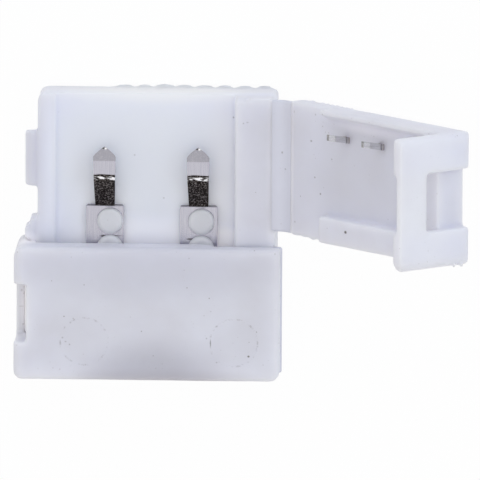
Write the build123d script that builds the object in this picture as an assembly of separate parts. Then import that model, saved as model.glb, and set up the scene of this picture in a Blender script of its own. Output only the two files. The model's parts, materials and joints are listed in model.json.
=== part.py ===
from build123d import *
import os
from math import atan2, cos, hypot, radians, sin

# Solderless strip-to-strip connector for a 10 mm two-conductor LED strip.
# One base moulding carries two tinned contacts. A cover hinges over each half on a thin web at the
# right (+X) side and snaps over a tab at the left side. Strips enter from both ends along Y.
# The origin is the centre of the base's underside, +Z is up, and lengths are in millimetres.
# The far cover (+Y) is modelled open and the near cover (-Y) closed, as at rest.

# Base moulding
base_length = 16.4
base_width = 13.8
floor_height = 2.7
rim_width = 1.03
rim_rise = 0.25
wall_width = 2.35
wall_rise = 1.5
left_corner_radius = 0.46
right_corner_radius = 0.3
foot_chamfer = 0.15
wall_edge_radius = 0.14
lead_in_width = 0.8
lead_in_depth = 0.22
lead_in_drop = 0.4

# Latch tabs on the base's left face, and the lug between the two covers
tab_length = 3.24
tab_reach = 0.75
tab_height = 0.62
tab_drop = 0.17
tab_tip_height = 0.26
tab_tip_reach = 0.32
tab_corner_radius = 0.2
lug_width = 0.76
lug_foot = 0.8
lug_drop = 0.15
lug_corner_radius = 0.2
lug_step_gap = 0.06
lug_step_reach = 0.42

# Covers, in their closed place
plate_thickness = 1.15
wall_gap = 0.05
cover_end_gap = 0.86
cover_end_inset = 0.03
skirt_gap = 0.51
skirt_thickness = 0.75
skirt_lift = 0.08
window_end_gap = 0.07
window_shift = 0.03
latch_gap = 0.06
snap_gap = 0.05
cover_back_radius = 0.5
cover_front_radius = 0.32
entry_corner_radius = 0.5
hinge_corner_radius = 0.6
middle_corner_radius = 0.65
skirt_inner_corner_radius = 0.65
skirt_entry_corner_radius = 0.2
plate_edge_radius = 0.12
plate_middle_radius = 0.25
return_length = 0.45
return_gap = 0.06
lip_reach = 0.35
lip_gap = 0.08

# Raised frame inside each cover
frame_height = 0.78
frame_right_gap = 1.25
entry_rib_crest = 0.26
entry_rib_root = 0.6
middle_pad_length = 1.55
side_bar_width = 1.3

# Witness marks of the ejector pins on the covers' outer faces
ejector_radius = 1.38
ejector_depth = 0.025
ejector_left_inset = 4.11
ejector_right_inset = 2.3
ejector_end_inset = 2.27

# Living hinges
web_length = 0.9
web_thickness = 0.2
web_root_depth = 0.03
web_end_inset = 0.02
fold_corner_radius = 0.6
open_angle = 132.0

# Contacts
strip_metal = 0.25
contact_rim_gap = 1.805
contact_wall_gap = 1.045
contact_plate_width = 2.15
contact_plate_length = 3.42
contact_corner_radius = 0.12
finger_root_width = 1.1
finger_width = 1.3
ramp_run = 1.72
ramp_rise = 1.02
crest_run = 0.99
tip_run = 0.78
tip_drop = 0.14
tip_shoulder = 0.18
bend_radius = 0.4
tip_fullness_x = 0.62
tip_fullness_y = 0.6
tip_bevel = 0.08

# Staked pegs that hold the contacts
peg_spacing = 1.56
peg_radius = 0.5
peg_hole_gap = 0.04
peg_head_radius = 0.75
peg_head_height = 0.34
peg_head_edge = 0.16
peg_shift_left = 0.3
peg_shift_right = 0.16

# Grip pins in the covers
pin_spacing = 3.1
pin_row_x = 0.1
pin_place = 1.64
pin_width = 0.5
pin_depth = 0.42
pin_reach = 1.22
pin_root = 0.6
pin_tip_height = 0.34
pin_tip_width = 0.14

# How far fused pieces reach into each other, and how far cutters reach past what they cut
fuse_depth = 0.3
cut_past = 1.0

# Sizes that follow from the ones above
half_length = base_length / 2
half_width = base_width / 2
rim_top = floor_height + rim_rise
wall_top = floor_height + wall_rise
lug_height = rim_top - lug_drop
rim_inner_x = -half_width + rim_width
wall_inner_x = half_width - wall_width
inner_face = wall_top + wall_gap
cover_top = inner_face + plate_thickness
skirt_inner_x = -half_width - skirt_gap
skirt_outer_x = skirt_inner_x - skirt_thickness
cover_start = cover_end_gap / 2
cover_end = half_length - cover_end_inset
window_length = tab_length + 2 * window_end_gap
window_place = (cover_start + cover_end) / 2 + window_shift
tab_top = rim_top - tab_drop
tab_bottom = tab_top - tab_height
tab_x = -half_width - tab_reach
snap_bar_top = tab_bottom - latch_gap
ejector_left_x = skirt_outer_x + ejector_left_inset
ejector_right_x = half_width - ejector_right_inset
ejector_y = cover_end - ejector_end_inset
frame_bottom = inner_face - frame_height
frame_right_x = wall_inner_x - frame_right_gap
base_root_z = wall_top - web_root_depth - web_thickness / 2
cover_root_z = inner_face + web_root_depth + web_thickness / 2
hinge_x = half_width + web_length / 2
hinge_z = (base_root_z + cover_root_z) / 2
root_rise = cover_root_z - base_root_z
lip_x = half_width + lip_reach
lip_bottom = cover_root_z + web_thickness / 2 + lip_gap
plate_top = floor_height + strip_metal
contact_left_x = rim_inner_x + contact_rim_gap + contact_plate_width / 2
contact_right_x = wall_inner_x - contact_wall_gap - contact_plate_width / 2
pin_y = cover_end - pin_place


def rounded(face, corners):
    """A face with its corners rounded, each given as its radius and its place."""
    for radius, place in corners:
        corner = face.vertices().sort_by_distance(place)[0]
        face = face.face().fillet_2d(radius, [corner])
    return face


def along_y(face, start, end):
    """Extrude a face drawn in XZ from y=start to y=end."""
    return Pos(0, start, 0) * extrude(face, end - start, dir=(0, 1, 0))


def outline_xz(points):
    """A face in the XZ plane from (x, z) corners."""
    return make_face(Polyline([(x, 0, z) for x, z in points], close=True))


def block(x0, x1, y0, y1, z0, z1):
    """A box between two opposite corners."""
    middle = Pos((x0 + x1) / 2, (y0 + y1) / 2, (z0 + z1) / 2)
    return middle * Box(x1 - x0, y1 - y0, z1 - z0)


def edges_at(shape, axis, **places):
    """Edges parallel to an axis whose centres lie at the given places."""
    chosen = shape.edges().filter_by(axis)
    for name, place in places.items():
        chosen = chosen.filter_by(lambda e, n=name, p=place: abs(getattr(e.center(), n) - p) < 1e-4)
    return chosen


def ribbon(points, thickness, radius):
    """A face in YZ that gives a line of (y, z) points a thickness on its upper side, with rounded bends."""
    upper = []
    bends = []
    for i, (y, z) in enumerate(points):
        before = points[max(i - 1, 0)]
        after = points[min(i + 1, len(points) - 1)]
        turn_in = atan2(z - before[1], y - before[0]) if i else atan2(after[1] - z, after[0] - y)
        turn_out = atan2(after[1] - z, after[0] - y) if i < len(points) - 1 else turn_in
        middle = (turn_in + turn_out) / 2
        reach = thickness / cos((turn_out - turn_in) / 2)
        upper.append((y - reach * sin(middle), z + reach * cos(middle)))
        if turn_in != turn_out:
            outside = radius + thickness
            below, above = (outside, radius) if turn_out > turn_in else (radius, outside)
            bends += [(below, (0, y, z)), (above, (0, *upper[-1]))]
    face = make_face(Polyline([(0, y, z) for y, z in points + upper[::-1]], close=True))
    return rounded(face, bends)


def base_body():
    """The base's cross-section along its whole length, with its outer corners and its entry lead-ins."""
    section = outline_xz(
        [
            (-half_width, 0),
            (half_width, 0),
            (half_width, wall_top),
            (wall_inner_x, wall_top),
            (wall_inner_x, floor_height),
            (rim_inner_x, floor_height),
            (rim_inner_x, rim_top),
            (-half_width, rim_top),
        ]
    )
    body = along_y(section, -half_length, half_length)
    for end in (-1, 1):
        y = end * half_length
        body = fillet(edges_at(body, Axis.Z, X=-half_width, Y=y), left_corner_radius)
        body = fillet(edges_at(body, Axis.Z, X=half_width, Y=y), right_corner_radius)
    body = chamfer(body.faces().sort_by(Axis.Z)[0].edges(), foot_chamfer)
    body = fillet(edges_at(body, Axis.Y, X=wall_inner_x, Z=wall_top), wall_edge_radius)
    for end in (-1, 1):
        body -= lead_in(end)
    return body


def lead_in(end):
    """The wedge that opens the channel's wall at one entry."""
    wedge = make_face(
        Polyline(
            [
                (0, half_length, wall_top - lead_in_drop),
                (0, half_length + cut_past, wall_top - lead_in_drop),
                (0, half_length + cut_past, wall_top + cut_past),
                (0, half_length - lead_in_depth, wall_top + cut_past),
                (0, half_length - lead_in_depth, wall_top),
            ],
            close=True,
        )
    )
    solid = Pos(wall_inner_x - cut_past, 0, 0) * extrude(wedge, lead_in_width + cut_past, dir=(1, 0, 0))
    return solid if end > 0 else mirror(solid, Plane.XZ)


def latch_tab(side):
    """A ledge on the base's left face with a sloped top that lets the snap bar ride over it."""
    section = outline_xz(
        [
            (-half_width + fuse_depth, tab_bottom),
            (tab_x, tab_bottom),
            (tab_x, tab_bottom + tab_tip_height),
            (tab_x + tab_tip_reach, tab_top),
            (-half_width + fuse_depth, tab_top),
        ]
    )
    centre = window_place
    tab = along_y(section, centre - tab_length / 2, centre + tab_length / 2)
    upright = edges_at(tab, Axis.Z, X=tab_x)
    tab = fillet(upright, min(tab_corner_radius, tab_tip_height, tab_tip_reach / 2))
    return tab if side > 0 else mirror(tab, Plane.XZ)


def middle_lug():
    """The lug on the base's left face between the two covers, and its step that reaches in under them."""
    half = lug_width / 2
    lug = block(tab_x, -half_width + fuse_depth, -half, half, lug_foot, lug_height)
    lug = fillet(edges_at(lug, Axis.Z, X=tab_x), lug_corner_radius)
    lug = chamfer(edges_at(lug, Axis.Y, X=tab_x, Z=lug_foot), foot_chamfer)
    step_x = skirt_inner_x + lug_step_gap
    step_y = cover_start + lug_step_reach
    return lug + block(step_x, -half_width + fuse_depth, -step_y, step_y, lug_foot, lug_height)


def peg(x, y):
    """A staked peg: a shank through the contact and a low rounded head on it."""
    shank_bottom = floor_height - fuse_depth
    shank = Cylinder(peg_radius, plate_top - shank_bottom)
    shank = Pos(x, y, (plate_top + shank_bottom) / 2) * shank
    head = Cylinder(peg_head_radius, peg_head_height)
    head = fillet(head.edges().sort_by(Axis.Z)[-1], peg_head_edge)
    return shank + Pos(x, y, plate_top + peg_head_height / 2) * head


def contact_places():
    """Each contact's name, centre and the shift of its pegs from that centre."""
    return (
        ("contact_left", contact_left_x, peg_shift_left),
        ("contact_right", contact_right_x, peg_shift_right),
    )


def base_housing():
    """The whole base moulding."""
    body = base_body() + middle_lug()
    for side in (-1, 1):
        body += latch_tab(side)
        for _, x, shift in contact_places():
            body += peg(x + shift, side * peg_spacing / 2)
    return body


def contact(x, shift):
    """A stamped strip: a flat plate with two peg holes and a bent, pointed finger at each end."""
    root_y = contact_plate_length / 2
    crest_y = root_y + ramp_run
    flat_y = crest_y + crest_run
    tip_y = flat_y + tip_run
    low = floor_height
    high = low + ramp_rise
    bends = [
        (0, low),
        (root_y, low),
        (crest_y, high),
        (flat_y, high),
        (tip_y, high - tip_drop),
    ]
    side_view = ribbon(bends, strip_metal, bend_radius)
    arm = Pos(-contact_plate_width / 2, 0, 0) * extrude(side_view, contact_plate_width, dir=(1, 0, 0))
    half_root = finger_root_width / 2
    half_tip = finger_width / 2
    shoulder_y = flat_y + tip_shoulder
    full_y = shoulder_y + tip_fullness_y * (tip_y - shoulder_y)
    right = [
        (half_root, root_y - fuse_depth),
        (half_tip, shoulder_y),
        (half_tip * tip_fullness_x, full_y),
    ]
    left = [(-x, y) for x, y in reversed(right)]
    finger_plan = make_face(Polyline(right + [(0, tip_y)] + left, close=True))
    plate_plan = Rectangle(contact_plate_width, contact_plate_length)
    plate_plan = fillet(plate_plan.vertices(), contact_corner_radius)
    finger = arm & extrude(finger_plan, high + cut_past)
    upper = finger.faces().filter_by(lambda f: f.center().Y > shoulder_y).sort_by(Axis.Z)[-1]
    sides = upper.edges().filter_by(lambda e: e.center().Y > shoulder_y)
    finger = chamfer(sides, tip_bevel)
    plate = Pos(0, 0, low) * extrude(plate_plan, strip_metal)
    strip = plate + finger + mirror(finger, Plane.XZ)
    for side in (-1, 1):
        hole = Cylinder(peg_radius + peg_hole_gap, 4 * strip_metal)
        strip -= Pos(shift, side * peg_spacing / 2, plate_top) * hole
    return Pos(x, 0, 0) * strip


def corner_cut(x, y, inward, radius):
    """What rounding takes off an upright corner; inward holds the signs of the way into the piece."""
    toward_x, toward_y = inward
    on_x = x + toward_x * radius
    on_y = y + toward_y * radius
    slack = radius * (1 - sin(radians(45)))
    past_x = x - toward_x * cut_past
    past_y = y - toward_y * cut_past
    arc = ThreePointArc((x, on_y), (x + toward_x * slack, y + toward_y * slack), (on_x, y))
    rest = Polyline([(on_x, y), (on_x, past_y), (past_x, past_y), (past_x, on_y), (x, on_y)])
    return extrude(make_face(arc + rest), cover_top + cut_past, dir=(0, 0, 1))


def cover_frame():
    """The raised frame on the cover's inner face: entry rib, middle pad and the bar beside the skirt."""
    top = inner_face + fuse_depth
    rib_section = make_face(
        Polyline(
            [
                (0, cover_end, frame_bottom),
                (0, cover_end, top),
                (0, cover_end - entry_rib_root, top),
                (0, cover_end - entry_rib_root, inner_face),
                (0, cover_end - entry_rib_crest, frame_bottom),
            ],
            close=True,
        )
    )
    left = skirt_inner_x - fuse_depth
    right = frame_right_x
    rib = Pos(left, 0, 0) * extrude(rib_section, right - left, dir=(1, 0, 0))
    pad = block(left, right, cover_start, cover_start + middle_pad_length, frame_bottom, top)
    bar = block(left, skirt_inner_x + side_bar_width, cover_start, cover_end, frame_bottom, top)
    return rib + pad + bar


def cover_shell():
    """The far cover in its closed place: section, frame and skirt return, cut to its side and plan outlines."""
    section = rounded(
        outline_xz(
            [
                (skirt_outer_x, skirt_lift),
                (skirt_outer_x, cover_top),
                (lip_x, cover_top),
                (lip_x, lip_bottom),
                (half_width, lip_bottom),
                (half_width, inner_face),
                (skirt_inner_x, inner_face),
                (skirt_inner_x, skirt_lift),
            ]
        ),
        [
            (cover_back_radius, (skirt_outer_x, 0, cover_top)),
            (cover_front_radius, (lip_x, 0, cover_top)),
        ],
    )
    side = rounded(
        make_face(
            Polyline(
                [
                    (0, cover_start, skirt_lift),
                    (0, cover_end, skirt_lift),
                    (0, cover_end, cover_top),
                    (0, cover_start, cover_top),
                ],
                close=True,
            )
        ),
        [
            (skirt_inner_corner_radius, (0, cover_start, skirt_lift)),
            (skirt_entry_corner_radius, (0, cover_end, skirt_lift)),
            (plate_edge_radius, (0, cover_end, cover_top)),
            (plate_middle_radius, (0, cover_start, cover_top)),
        ],
    )
    shell = along_y(section, cover_start - cut_past, cover_end + cut_past) + cover_frame()
    shell += block(
        skirt_inner_x - fuse_depth,
        -half_width - return_gap,
        cover_start,
        cover_start + return_length,
        lug_height + return_gap,
        inner_face + fuse_depth,
    )
    width = lip_x - skirt_outer_x + 2 * cut_past
    shell &= Pos(skirt_outer_x - cut_past, 0, 0) * extrude(side, width, dir=(1, 0, 0))
    shell -= corner_cut(skirt_outer_x, cover_end, (1, -1), entry_corner_radius)
    shell -= corner_cut(skirt_outer_x, cover_start, (1, 1), middle_corner_radius)
    return shell - corner_cut(lip_x, cover_end, (-1, -1), hinge_corner_radius)


def latch_window():
    """The opening in the skirt that lets the tab through, and the clear space inside the snap bar."""
    half = window_length / 2
    start = window_place - half
    end = window_place + half
    top = cover_top + cut_past
    window = block(skirt_outer_x - cut_past, skirt_inner_x, start, end, snap_bar_top, top)
    below = skirt_lift - cut_past
    slot = block(tab_x - snap_gap, skirt_inner_x + snap_gap, start, end, below, snap_bar_top + snap_gap)
    return window, slot


def pin_places():
    """The x places of the two grip pins of a cover, outer one first."""
    return (("outer", pin_row_x - pin_spacing / 2), ("inner", pin_row_x + pin_spacing / 2))


def closed_cover():
    """The far cover in its closed place."""
    window, slot = latch_window()
    body = cover_shell() - window - slot
    for x in (ejector_left_x, ejector_right_x):
        body -= Pos(x, ejector_y, cover_top) * Cylinder(ejector_radius, 2 * ejector_depth)
    for _, x in pin_places():
        body -= Pos(x, pin_y, inner_face + pin_root / 2) * Box(pin_width, pin_depth, pin_root)
    return body


def grip_pin(x):
    """A square pin with a chisel tip, set in the far cover's plate, in its closed place."""
    shank_bottom = inner_face - pin_reach + pin_tip_height
    shank = block(
        x - pin_width / 2,
        x + pin_width / 2,
        pin_y - pin_depth / 2,
        pin_y + pin_depth / 2,
        shank_bottom,
        inner_face + pin_root,
    )
    tip = loft(
        [
            Pos(x, pin_y, shank_bottom) * Rectangle(pin_width, pin_depth),
            Pos(x, pin_y, inner_face - pin_reach) * Rectangle(pin_tip_width, pin_depth),
        ]
    )
    return shank + tip


def web_line(angle):
    """The living hinge's middle line in XZ from the base's root to the cover's root, at an opening angle."""
    start = (half_width, base_root_z)
    if angle == 0:
        reach = (web_length - radians(90) * root_rise) / 2
        lower = (half_width + reach, base_root_z)
        bulge = (half_width + reach + root_rise / 2, hinge_z)
        upper = (half_width + reach, cover_root_z)
        return [("line", start, lower), ("arc", lower, bulge, upper), ("line", upper, (half_width, cover_root_z))]
    turn = radians(180 - angle)
    run = half_width - hinge_x
    rise = cover_root_z - hinge_z
    t = radians(angle)
    end = (hinge_x + run * cos(t) + rise * sin(t), hinge_z - run * sin(t) + rise * cos(t))
    radius = hypot(end[0] - start[0], end[1] - start[1]) / (2 * sin(turn / 2))
    middle = (start[0] + radius * sin(turn / 2), start[1] + radius * (1 - cos(turn / 2)))
    return [("arc", start, middle, end)]


def living_hinge(angle):
    """The thin web that joins the base and the far cover, as it lies at an opening angle."""
    pieces = []
    for kind, *points in web_line(angle):
        corners = [(x, 0, z) for x, z in points]
        pieces.append(Line(*corners) if kind == "line" else ThreePointArc(*corners))
    path = Wire(pieces)
    start = cover_start + web_end_inset
    length = cover_end - cover_start - 2 * web_end_inset
    section = Plane(
        origin=(half_width, start + length / 2, base_root_z),
        x_dir=(0, 1, 0),
        z_dir=(1, 0, 0),
    ) * Rectangle(length, web_thickness)
    return sweep(section, path=Pos(0, start + length / 2, 0) * path)


def folded_hinge():
    """The folded web of the closed far cover, whose crease draws in at its outer end."""
    web = living_hinge(0)
    outer = web.bounding_box().max
    return web - corner_cut(outer.X, outer.Y, (-1, -1), fold_corner_radius)


def turned(shape, angle):
    """A closed cover piece swung open about the hinge axis."""
    axis = Axis((hinge_x, 0, hinge_z), (0, 1, 0))
    return shape.rotate(axis, angle)


def near(shape):
    """The near half's copy of a far piece."""
    return mirror(shape, Plane.XZ)


def build():
    """Every node's name and solid."""
    nodes = {"base_housing": base_housing()}
    for name, x, shift in contact_places():
        nodes[name] = contact(x, shift)
    cover = closed_cover()
    nodes["far_cover"] = turned(cover, open_angle)
    nodes["near_cover"] = near(cover)
    nodes["far_living_hinge"] = living_hinge(open_angle)
    nodes["near_living_hinge"] = near(folded_hinge())
    for place, x in pin_places():
        pin = grip_pin(x)
        nodes[f"far_{place}_grip_pin"] = turned(pin, open_angle)
        nodes[f"near_{place}_grip_pin"] = near(pin)
    return nodes


os.makedirs("parts", exist_ok=True)
for name, solid in build().items():
    export_step(solid, f"parts/{name}.step")
print("hinge axis at x", round(hinge_x, 3), "z", round(hinge_z, 3))
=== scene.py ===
"""Solderless connector for a 10 mm two-conductor LED strip, dressed around its fixed CAD frame.

One base moulding, two hinged covers and their thin webs in milky nylon, and two stamped, tinned contacts.
"""

import json
import math

import bmesh
import bpy
from bpy.props import FloatProperty, FloatVectorProperty, IntProperty, PointerProperty
from mathutils import Matrix, Vector, noise


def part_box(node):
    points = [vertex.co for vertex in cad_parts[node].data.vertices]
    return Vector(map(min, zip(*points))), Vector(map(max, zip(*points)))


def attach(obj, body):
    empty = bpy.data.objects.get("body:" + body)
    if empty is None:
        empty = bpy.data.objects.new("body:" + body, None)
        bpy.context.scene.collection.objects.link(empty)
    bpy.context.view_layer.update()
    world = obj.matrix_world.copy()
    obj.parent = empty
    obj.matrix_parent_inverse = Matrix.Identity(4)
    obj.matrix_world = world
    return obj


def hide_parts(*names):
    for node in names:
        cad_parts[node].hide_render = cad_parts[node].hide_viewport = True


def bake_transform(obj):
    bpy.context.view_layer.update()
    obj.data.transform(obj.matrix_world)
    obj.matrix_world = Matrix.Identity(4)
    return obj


bl_info = {
    "name": "LED strip connector",
    "version": (1, 0, 0),
    "blender": (4, 5, 0),
    "location": "3D Viewport > Sidebar > Connector",
    "description": "Moulded nylon base and covers, living hinges and tinned contacts of a strip connector",
    "category": "Add Mesh",
}

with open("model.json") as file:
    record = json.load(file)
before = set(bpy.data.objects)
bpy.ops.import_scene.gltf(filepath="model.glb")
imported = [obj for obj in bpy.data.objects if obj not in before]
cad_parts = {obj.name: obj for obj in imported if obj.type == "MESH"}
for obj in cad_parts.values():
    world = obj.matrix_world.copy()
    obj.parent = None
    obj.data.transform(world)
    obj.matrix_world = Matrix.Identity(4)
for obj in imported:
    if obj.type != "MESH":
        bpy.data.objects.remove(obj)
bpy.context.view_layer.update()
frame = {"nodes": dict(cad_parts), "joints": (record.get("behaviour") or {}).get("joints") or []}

# All sizes below are in millimetres unless a line says otherwise
MM = 0.001
HINGE = Vector(frame["joints"][0]["pos_m"]) / MM
OPEN_ANGLE = -math.radians(frame["joints"][0]["range_deg"][0])
BASE_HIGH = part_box("base_housing")[1] / MM
COVER_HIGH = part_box("near_cover")[1] / MM

# A cover's plate, and the face under it that looks at the strip when the cover is closed
PLATE = 1.15
PLATE_FACE = COVER_HIGH.z - PLATE

# Runs of flash: start, end, spacing, and the smallest and largest half sizes of a bead. They stand along the
# base's far end, along the open cover's rib, entry and corner, and at the near cover's corner
FAR_EDGE = BASE_HIGH.y - 0.04
FAR_RIGHT = BASE_HIGH.x - 0.8
RIB = PLATE_FACE + 0.16
ENTRY = COVER_HIGH.z - 0.12
BASE_FLASH = [
    ((-2.0, FAR_EDGE, 0.13), (FAR_RIGHT, FAR_EDGE, 0.13), 1.02, (0.42, 0.16, 0.1), (0.72, 0.3, 0.15)),
]
FAR_COVER_FLASH = [
    ((6.3, 0.45, RIB), (4.1, 0.45, RIB), 0.72, (0.28, 0.1, 0.1), (0.5, 0.2, 0.16)),
    ((5.9, 8.15, ENTRY), (2.4, 8.15, ENTRY), 0.43, (0.12, 0.05, 0.06), (0.26, 0.12, 0.12)),
    ((-8.02, 0.5, 4.2), (-8.02, 0.47, 4.75), 0.3, (0.1, 0.1, 0.12), (0.16, 0.16, 0.2)),
]
CORNER_LOW = (6.75, -0.5, PLATE_FACE + 0.2)
CORNER_HIGH = (6.75, -0.75, PLATE_FACE + 0.6)
NEAR_COVER_FLASH = [(CORNER_LOW, CORNER_HIGH, 0.3, (0.12, 0.1, 0.1), (0.2, 0.16, 0.16))]
FLASH_SEED = 3
FAR_COVER_ROUNDING = 8

# Webs: how far each root stands above the underside, and how far an end runs into its piece
WEB_THICKNESS = 0.2
WEB_EDGE = 0.07
WEB_IN_PIECE = 0.2
BASE_ROOT = Vector((BASE_HIGH.x, 0.0, 4.11))
COVER_ROOT = Vector((BASE_HIGH.x, 0.0, 4.34))
WEB_STEPS = 28

# Pegs: off the contact's middle to the hinge side, along the strip, the head on each with its half widths
# from foot to top, and how far round each peg the CAD's own one is cleared away
PEGS_ASIDE = {"contact_left": 0.3, "contact_right": 0.16}
PEGS_ALONG = (-0.78, 0.78)
PEG_HEAD = 0.75
PEG_HEAD_HEIGHT = 0.34
PEG_HEAD_SIDE = ((0.0, 0.97), (0.3, 1.0), (0.62, 0.985), (0.86, 0.9), (1.0, 0.7))
PEG_CLEARED = 1.0

# Contacts: radius of the peg holes and of the plate's corners, half widths of the finger at its neck and at
# its shoulder, how far that stands past the last bend, and the bevels
HOLE = 0.54
PLATE_CORNER = 0.12
NECK = 0.55
FINGER = 0.65
SHOULDER = 0.18
TIP_BEVEL = 0.1
EDGE_BEVEL = 0.035

# Tones of the tin, read by the material from each vertex: none is clean, one a painted dark reflection with
# scuffed flecks, two a painted highlight; the tip's top and the bend's foot take a lighter painted shade
CLEAN, SIDE_OF_TIP, TIP, BEND, DARK_REFLECTION, CREST_HIGHLIGHT = 0.0, 0.04, 0.29, 0.3, 1.0, 2.0
# A pin's tones: clean sides, a painted shade at its root, and a dark tip
PIN_SIDE, PIN_ROOT_SHADE, PIN_TIP = 0.05, 0.55, 0.6

# Grip pins: free length in the CAD and of the real ones, lean to the entry, and share of the thickness kept
PIN_IN_CAD = 1.22
PIN = 1.46
PIN_LEAN = 0.2
PIN_SLIM = 0.85
PIN_BEVEL = 0.03
PIN_CUTS = 23

# The picture's width, and where the connector's origin lies from its left and top, all in pixels
PICTURE = 480
ORIGIN_ACROSS = 159.0
ORIGIN_DOWN = 226.17


def linear(code):
    """An sRGB hex colour as linear red, green, blue and alpha."""
    values = [int(code[i : i + 2], 16) / 255 for i in (0, 2, 4)]
    return (*(v / 12.92 if v <= 0.04045 else ((v + 0.055) / 1.055) ** 2.4 for v in values), 1.0)


# Settings


class MouldingSettings(bpy.types.PropertyGroup):
    """How the nylon mouldings are meshed and softened."""

    mesh_size: FloatProperty(
        name="Mesh size", description="Grid that the mouldings are built on", default=0.1 * MM, unit="LENGTH"
    )
    rounding: IntProperty(
        name="Rounding", description="Smoothing passes that round the moulded edges", default=4, min=0
    )
    sink: FloatProperty(
        name="Sink", description="Height of the waves that cooling leaves", default=0.012 * MM, unit="LENGTH"
    )
    sink_size: FloatProperty(
        name="Sink size", description="Width of those waves", default=2.2 * MM, unit="LENGTH"
    )


class NylonSettings(bpy.types.PropertyGroup):
    """The look of the milky nylon."""

    colour: FloatVectorProperty(
        name="Colour", description="Colour of the nylon", subtype="COLOR", size=4, default=linear("E2E3EC")
    )
    cloud: FloatVectorProperty(
        name="Cloud",
        description="Colour where it is denser",
        subtype="COLOR",
        size=4,
        default=linear("DCDCE4"),
    )
    speck: FloatVectorProperty(
        name="Speck",
        description="Colour of the dirt specks",
        subtype="COLOR",
        size=4,
        default=linear("6F6560"),
    )
    depth: FloatProperty(
        name="Milkiness", description="How far light travels inside", default=1.2 * MM, unit="LENGTH"
    )
    roughness: FloatProperty(name="Roughness", description="Satin of the moulded skin", default=0.42)


class ContactSettings(bpy.types.PropertyGroup):
    """Sizes of the stamped contacts."""

    metal: FloatProperty(name="Metal", description="Thickness of the strip", default=0.25 * MM, unit="LENGTH")
    plate_width: FloatProperty(
        name="Plate width", description="Across the plate", default=2.15 * MM, unit="LENGTH"
    )
    plate_half: FloatProperty(
        name="Plate half length", description="From the middle to the bend", default=1.71 * MM, unit="LENGTH"
    )
    crest_start: FloatProperty(
        name="Crest start", description="Where the ramp ends", default=3.43 * MM, unit="LENGTH"
    )
    crest_end: FloatProperty(
        name="Crest end", description="Where the tip starts to fall", default=4.42 * MM, unit="LENGTH"
    )
    tip: FloatProperty(name="Tip", description="From the middle to the tip", default=5.2 * MM, unit="LENGTH")
    rise: FloatProperty(name="Rise", description="Height of the ramp", default=1.02 * MM, unit="LENGTH")
    drop: FloatProperty(name="Drop", description="Fall of the tip", default=0.14 * MM, unit="LENGTH")
    bend: FloatProperty(name="Bend", description="Inner radius of the bends", default=0.4 * MM, unit="LENGTH")


class StageSettings(bpy.types.PropertyGroup):
    """Floor, lights and camera."""

    floor: FloatProperty(name="Floor", description="Radius of the floor", default=0.3, unit="LENGTH")
    sky: FloatProperty(name="Sky", description="Strength of the light from all round", default=0.68)
    lamp: FloatProperty(name="Lamp", description="Width of each soft lamp", default=0.3, unit="LENGTH")
    distance: FloatProperty(
        name="Distance", description="From the camera to the connector", default=1.05, unit="LENGTH"
    )
    tilt: FloatProperty(
        name="Tilt", description="Camera's lean to the far end", default=math.radians(9.41), subtype="ANGLE"
    )
    swing: FloatProperty(
        name="Swing", description="Camera's lean to the hinge", default=math.radians(2.45), subtype="ANGLE"
    )
    roll: FloatProperty(name="Roll", description="Camera's roll", default=math.radians(0.3), subtype="ANGLE")
    scale: FloatProperty(name="Scale", description="Width of the view", default=27.836 * MM, unit="LENGTH")


# Shared tools


def put(tree, kind, inputs=(), **settings):
    """Add one node with its settings; an input is a value, a socket, or a node, which gives its result."""
    node = tree.nodes.new(kind)
    for key, value in settings.items():
        setattr(node, key, value)
    for key, value in dict(inputs).items():
        if isinstance(value, bpy.types.Node):
            value = next(socket for socket in value.outputs if socket.enabled)
        if isinstance(value, bpy.types.NodeSocket):
            tree.links.new(value, node.inputs[key])
        else:
            node.inputs[key].default_value = value
    return node


def new_tree(name, sizes):
    """An empty Geometry Nodes tree with a geometry input, named sizes and a geometry output."""
    tree = bpy.data.node_groups.new(name, "GeometryNodeTree")
    tree.interface.new_socket("Geometry", in_out="OUTPUT", socket_type="NodeSocketGeometry")
    tree.interface.new_socket("Geometry", in_out="INPUT", socket_type="NodeSocketGeometry")
    for size, kind in sizes.items():
        tree.interface.new_socket(size, in_out="INPUT", socket_type=kind)
    return tree, put(tree, "NodeGroupInput").outputs


def end_tree(tree, geometry, material):
    """Close a tree with Realize Instances and Set Material."""
    real = put(tree, "GeometryNodeRealizeInstances", {"Geometry": geometry})
    done = put(tree, "GeometryNodeSetMaterial", {"Geometry": real, "Material": material})
    put(tree, "NodeGroupOutput", {"Geometry": done})


def grown(tree, points, edges, values):
    """The plain mesh that a tree makes from a line or from loose points, given in millimetres."""
    source = bpy.data.meshes.new(tree.name)
    source.from_pydata([Vector(p) * MM for p in points], edges, [])
    obj = bpy.data.objects.new(tree.name, source)
    bpy.context.scene.collection.objects.link(obj)
    modifier = obj.modifiers.new(tree.name, "NODES")
    modifier.node_group = tree
    for item in tree.interface.items_tree:
        if item.in_out == "INPUT" and item.name in values:
            modifier[item.identifier] = values[item.name]
    evaluated = obj.evaluated_get(bpy.context.evaluated_depsgraph_get())
    mesh = bpy.data.meshes.new_from_object(evaluated)
    bpy.data.objects.remove(obj)
    return mesh


def finished(bm, name):
    """Turn an edited mesh into mesh data, as it is."""
    mesh = bpy.data.meshes.new(name)
    bm.to_mesh(mesh)
    bm.free()
    return mesh


def place(name, mesh, material, smooth=True):
    """Put a finished mesh in the scene as an object at the origin."""
    obj = bpy.data.objects.new(name, mesh)
    bpy.context.scene.collection.objects.link(obj)
    mesh.materials.clear()
    mesh.materials.append(material)
    mesh.polygons.foreach_set("use_smooth", [smooth] * len(mesh.polygons))
    return obj


def box_of(node):
    """The low and high corners of a CAD node, in millimetres."""
    return [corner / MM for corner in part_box(node)]


def about_hinge(angle):
    """The turn about the hinge axis, in millimetres."""
    return Matrix.Translation(HINGE) @ Matrix.Rotation(angle, 4, "Y") @ Matrix.Translation(-HINGE)


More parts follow.
